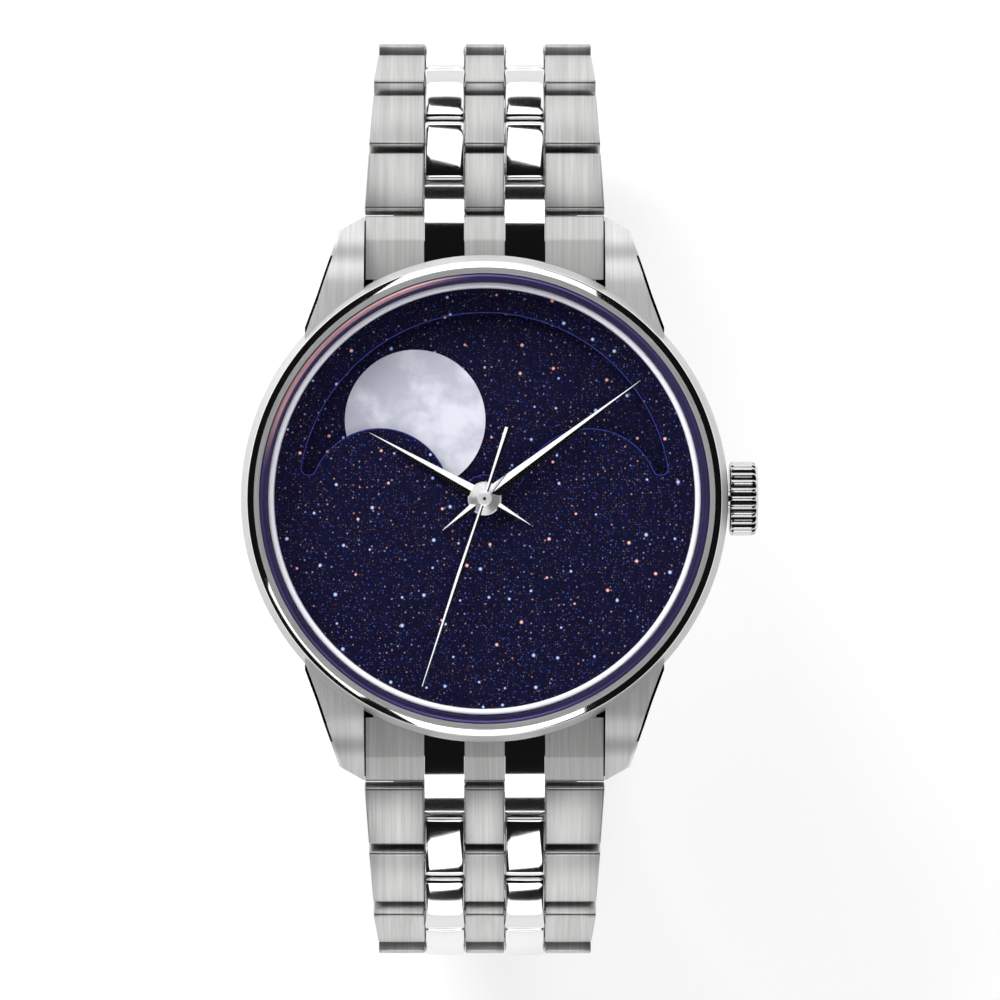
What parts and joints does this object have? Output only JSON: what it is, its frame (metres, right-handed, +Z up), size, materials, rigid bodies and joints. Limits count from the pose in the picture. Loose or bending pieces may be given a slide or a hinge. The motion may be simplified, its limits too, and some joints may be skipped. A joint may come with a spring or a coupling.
{
  "type": "wristwatch",
  "caption": "Round moon phase wristwatch with a starry dial, moon aperture, lance hands and a linked steel bracelet closed by a folding clasp.",
  "frame": {"origin": "on the flat underside of the closed clasp, straight below the centre of the dial", "axes": "+Z up out of the dial, +Y to 12 o'clock, +X to 3 o'clock and the crown"},
  "size_m": [0.0431, 0.0778, 0.0345],
  "materials": {
    "bracelet_steel": "brushed along the band, middle pair of links polished",
    "case_steel": "fine brushed",
    "polished_steel": "mirror polished",
    "crystal_glass": "clear, slightly domed",
    "back_glass": "clear, flat",
    "seal_rubber": "matt",
    "flange_silver": "bright silver",
    "star_glass": "dark blue glass full of small bright flakes",
    "sky_glass": "dark blue glass full of small bright flakes",
    "moon_face": "grey and white mottled",
    "hand_steel": "polished facets",
    "plate_rhodium": "plated, grained in stripes",
    "wheel_brass": "gilt",
    "train_steel": "polished",
    "rotor_metal": "plated, grained in stripes",
    "screw_steel": "heat blued",
    "pin_steel": "turned",
    "clasp_steel": "brushed along the band",
    "blade_steel": "fine brushed"
  },
  "bodies": {
    "watch_head": {"middle_case": "case_steel", "bezel": "polished_steel", "crystal": "crystal_glass", "crystal_gasket": "seal_rubber", "dial_flange": "flange_silver", "dial": "star_glass", "case_back": "case_steel", "back_crystal": "back_glass", "back_gasket": "seal_rubber", "movement_ring": "plate_rhodium", "crown_tube": "train_steel", "lug_spring_bars": "pin_steel", "end_link_12": "bracelet_steel", "end_link_6": "bracelet_steel", "main_plate": "plate_rhodium", "train_bridge": "plate_rhodium", "balance_cock": "plate_rhodium", "bridge_screws": "screw_steel"},
    "row_12_1": {"link_row_12_1": "bracelet_steel"},
    "row_12_2": {"link_row_12_2": "bracelet_steel"},
    "row_12_3": {"link_row_12_3": "bracelet_steel"},
    "row_12_4": {"link_row_12_4": "bracelet_steel"},
    "row_12_5": {"link_row_12_5": "bracelet_steel"},
    "row_12_6": {"link_row_12_6": "bracelet_steel"},
    "row_12_7": {"link_row_12_7": "bracelet_steel"},
    "row_12_8": {"link_row_12_8": "bracelet_steel"},
    "row_12_9": {"link_row_12_9": "bracelet_steel"},
    "row_6_1": {"link_row_6_1": "bracelet_steel"},
    "row_6_2": {"link_row_6_2": "bracelet_steel"},
    "row_6_3": {"link_row_6_3": "bracelet_steel"},
    "row_6_4": {"link_row_6_4": "bracelet_steel"},
    "row_6_5": {"link_row_6_5": "bracelet_steel"},
    "row_6_6": {"link_row_6_6": "bracelet_steel"},
    "row_6_7": {"link_row_6_7": "bracelet_steel"},
    "row_6_8": {"link_row_6_8": "bracelet_steel"},
    "row_6_9": {"link_row_6_9": "bracelet_steel"},
    "clasp_inner": {"clasp_inner_blade": "blade_steel", "clasp_blade_pins": "pin_steel"},
    "clasp_middle": {"clasp_middle_blade": "blade_steel", "clasp_cover_pin": "pin_steel"},
    "clasp_lid": {"clasp_cover": "clasp_steel"},
    "button_left": {"clasp_button_left": "clasp_steel"},
    "button_right": {"clasp_button_right": "clasp_steel"},
    "seconds_group": {"seconds_hand": "hand_steel", "fourth_wheel": "wheel_brass"},
    "minute_group": {"minute_hand": "hand_steel", "cannon_pinion": "wheel_brass"},
    "hour_group": {"hour_hand": "hand_steel", "hour_wheel": "wheel_brass"},
    "moon_group": {"moon_disc": "sky_glass", "moon_plates": "moon_face"},
    "third_group": {"third_wheel": "wheel_brass"},
    "escape_group": {"escape_wheel": "train_steel"},
    "barrel_group": {"mainspring_barrel": "wheel_brass"},
    "balance_group": {"balance_wheel": "wheel_brass"},
    "pallet_group": {"pallet_fork": "train_steel"},
    "rotor_group": {"rotor": "rotor_metal"},
    "crown_gear": {"winding_pinion": "train_steel"},
    "crown_group": {"crown": "polished_steel", "winding_stem": "train_steel"}
  },
  "joints": [
    {"name": "row_12_1_hinge", "type": "hinge", "parent": "watch_head", "child": "row_12_1", "pos_m": [0, 0.02505, 0.02663], "axis": [1, 0, 0], "range_deg": [0, 14.5]},
    {"name": "row_12_2_hinge", "type": "hinge", "parent": "row_12_1", "child": "row_12_2", "pos_m": [0, 0.0301, 0.02537], "axis": [1, 0, 0], "range_deg": [0, 16.5]},
    {"name": "bracelet_12_opening", "type": "hinge", "parent": "row_12_2", "child": "row_12_3", "pos_m": [0, 0.0346, 0.02277], "axis": [1, 0, 0], "range_deg": [0, 30]},
    {"name": "row_12_4_hinge", "type": "hinge", "parent": "row_12_3", "child": "row_12_4", "pos_m": [0, 0.0372, 0.01826], "axis": [1, 0, 0], "range_deg": [0, 30.5]},
    {"name": "row_12_5_hinge", "type": "hinge", "parent": "row_12_4", "child": "row_12_5", "pos_m": [0, 0.0372, 0.01306], "axis": [1, 0, 0], "range_deg": [0, 25.5]},
    {"name": "row_12_6_hinge", "type": "hinge", "parent": "row_12_5", "child": "row_12_6", "pos_m": [0, 0.035, 0.00835], "axis": [1, 0, 0], "range_deg": [0, 23.5]},
    {"name": "row_12_7_hinge", "type": "hinge", "parent": "row_12_6", "child": "row_12_7", "pos_m": [0, 0.03114, 0.00487], "axis": [1, 0, 0], "range_deg": [0, 20.5]},
    {"name": "row_12_8_hinge", "type": "hinge", "parent": "row_12_7", "child": "row_12_8", "pos_m": [0, 0.02632, 0.00292], "axis": [1, 0, 0], "range_deg": [0, 14.5]},
    {"name": "row_12_9_hinge", "type": "hinge", "parent": "row_12_8", "child": "row_12_9", "pos_m": [0, 0.02117, 0.0022], "axis": [1, 0, 0], "range_deg": [0, 8.5]},
    {"name": "row_6_1_hinge", "type": "hinge", "parent": "watch_head", "child": "row_6_1", "pos_m": [0, -0.02505, 0.02663], "axis": [-1, 0, 0], "range_deg": [0, 14.5]},
    {"name": "row_6_2_hinge", "type": "hinge", "parent": "row_6_1", "child": "row_6_2", "pos_m": [0, -0.0301, 0.02537], "axis": [-1, 0, 0], "range_deg": [0, 16.5]},
    {"name": "bracelet_6_opening", "type": "hinge", "parent": "row_6_2", "child": "row_6_3", "pos_m": [0, -0.0346, 0.02277], "axis": [-1, 0, 0], "range_deg": [0, 30]},
    {"name": "row_6_4_hinge", "type": "hinge", "parent": "row_6_3", "child": "row_6_4", "pos_m": [0, -0.0372, 0.01826], "axis": [-1, 0, 0], "range_deg": [0, 30.5]},
    {"name": "row_6_5_hinge", "type": "hinge", "parent": "row_6_4", "child": "row_6_5", "pos_m": [0, -0.0372, 0.01306], "axis": [-1, 0, 0], "range_deg": [0, 25.5]},
    {"name": "row_6_6_hinge", "type": "hinge", "parent": "row_6_5", "child": "row_6_6", "pos_m": [0, -0.035, 0.00835], "axis": [-1, 0, 0], "range_deg": [0, 23.5]},
    {"name": "row_6_7_hinge", "type": "hinge", "parent": "row_6_6", "child": "row_6_7", "pos_m": [0, -0.03114, 0.00487], "axis": [-1, 0, 0], "range_deg": [0, 20.5]},
    {"name": "row_6_8_hinge", "type": "hinge", "parent": "row_6_7", "child": "row_6_8", "pos_m": [0, -0.02632, 0.00292], "axis": [-1, 0, 0], "range_deg": [0, 14.5]},
    {"name": "row_6_9_hinge", "type": "hinge", "parent": "row_6_8", "child": "row_6_9", "pos_m": [0, -0.02117, 0.0022], "axis": [-1, 0, 0], "range_deg": [0, 8.5]},
    {"name": "clasp_blade_hinge", "type": "hinge", "parent": "row_12_9", "child": "clasp_inner", "pos_m": [0, 0.01597, 0.0022], "axis": [1, 0, 0], "range_deg": [0, 10.5]},
    {"name": "clasp_front_hinge", "type": "hinge", "parent": "clasp_inner", "child": "clasp_middle", "pos_m": [0, -0.01, 0.002], "axis": [-1, 0, 0], "range_deg": [0, 125]},
    {"name": "clasp_cover_hinge", "type": "hinge", "parent": "clasp_middle", "child": "clasp_lid", "pos_m": [0, 0.013, 0.00115], "axis": [1, 0, 0], "range_deg": [0, 90]},
    {"name": "clasp_button_left_press", "type": "slide", "parent": "clasp_lid", "child": "button_left", "axis": [1, 0, 0], "range_m": [0, 0.0005], "stiffness_N_per_m": 100},
    {"name": "clasp_button_right_press", "type": "slide", "parent": "clasp_lid", "child": "button_right", "axis": [-1, 0, 0], "range_m": [0, 0.0005], "stiffness_N_per_m": 100},
    {"name": "seconds_turn", "type": "hinge", "parent": "watch_head", "child": "seconds_group", "pos_m": [0, 0, 0.02893], "axis": [0, 0, -1], "continuous": true},
    {"name": "minute_turn", "type": "hinge", "parent": "watch_head", "child": "minute_group", "pos_m": [0, 0, 0.02893], "axis": [0, 0, -1], "continuous": true},
    {"name": "hour_turn", "type": "hinge", "parent": "watch_head", "child": "hour_group", "pos_m": [0, 0, 0.02893], "axis": [0, 0, -1], "continuous": true},
    {"name": "moon_turn", "type": "hinge", "parent": "watch_head", "child": "moon_group", "pos_m": [0, 0, 0.02893], "axis": [0, 0, -1], "continuous": true},
    {"name": "third_wheel_turn", "type": "hinge", "parent": "watch_head", "child": "third_group", "pos_m": [0.00206, 0.00357, 0.02893], "axis": [0, 0, -1], "continuous": true},
    {"name": "escape_wheel_turn", "type": "hinge", "parent": "watch_head", "child": "escape_group", "pos_m": [0.00156, -0.00271, 0.02893], "axis": [0, 0, -1], "continuous": true},
    {"name": "barrel_turn", "type": "hinge", "parent": "watch_head", "child": "barrel_group", "pos_m": [-0.00731, -0.00592, 0.02893], "axis": [0, 0, -1], "continuous": true},
    {"name": "balance_swing", "type": "hinge", "parent": "watch_head", "child": "balance_group", "pos_m": [0.00556, -0.00855, 0.02893], "axis": [0, 0, 1], "range_deg": [-270, 270]},
    {"name": "pallet_rock", "type": "hinge", "parent": "watch_head", "child": "pallet_group", "pos_m": [0.00314, -0.00502, 0.02893], "axis": [0, 0, 1], "range_deg": [-5.5, 5.5]},
    {"name": "rotor_turn", "type": "hinge", "parent": "watch_head", "child": "rotor_group", "pos_m": [0, 0, 0.02523], "axis": [0, 0, 1], "continuous": true},
    {"name": "crown_turn", "type": "hinge", "parent": "watch_head", "child": "crown_gear", "pos_m": [0, 0, 0.02823], "axis": [1, 0, 0], "continuous": true},
    {"name": "crown_pull", "type": "slide", "parent": "crown_gear", "child": "crown_group", "axis": [1, 0, 0], "range_m": [0, 0.0012]}
  ],
  "couplings": [
    {"joint": "row_12_1_hinge", "follows": "bracelet_12_opening", "ratio": 0.46667},
    {"joint": "row_12_2_hinge", "follows": "bracelet_12_opening", "ratio": 0.53333},
    {"joint": "row_12_4_hinge", "follows": "bracelet_12_opening", "ratio": 1},
    {"joint": "row_12_5_hinge", "follows": "bracelet_12_opening", "ratio": 0.83333},
    {"joint": "row_12_6_hinge", "follows": "bracelet_12_opening", "ratio": 0.76667},
    {"joint": "row_12_7_hinge", "follows": "bracelet_12_opening", "ratio": 0.66667},
    {"joint": "row_12_8_hinge", "follows": "bracelet_12_opening", "ratio": 0.46667},
    {"joint": "row_12_9_hinge", "follows": "bracelet_12_opening", "ratio": 0.26667},
    {"joint": "row_6_1_hinge", "follows": "bracelet_6_opening", "ratio": 0.46667},
    {"joint": "row_6_2_hinge", "follows": "bracelet_6_opening", "ratio": 0.53333},
    {"joint": "row_6_4_hinge", "follows": "bracelet_6_opening", "ratio": 1},
    {"joint": "row_6_5_hinge", "follows": "bracelet_6_opening", "ratio": 0.83333},
    {"joint": "row_6_6_hinge", "follows": "bracelet_6_opening", "ratio": 0.76667},
    {"joint": "row_6_7_hinge", "follows": "bracelet_6_opening", "ratio": 0.66667},
    {"joint": "row_6_8_hinge", "follows": "bracelet_6_opening", "ratio": 0.46667},
    {"joint": "row_6_9_hinge", "follows": "bracelet_6_opening", "ratio": 0.26667},
    {"joint": "clasp_blade_hinge", "follows": "bracelet_12_opening", "ratio": 0.33333},
    {"joint": "minute_turn", "follows": "seconds_turn", "ratio": 0.016667},
    {"joint": "hour_turn", "follows": "seconds_turn", "ratio": 0.0013889},
    {"joint": "moon_turn", "follows": "seconds_turn", "ratio": 0.000011758},
    {"joint": "third_wheel_turn", "follows": "seconds_turn", "ratio": -0.13333},
    {"joint": "escape_wheel_turn", "follows": "seconds_turn", "ratio": -12},
    {"joint": "barrel_turn", "follows": "seconds_turn", "ratio": -0.0020833},
    {"joint": "pallet_rock", "follows": "balance_swing", "ratio": 0.02}
  ]
}
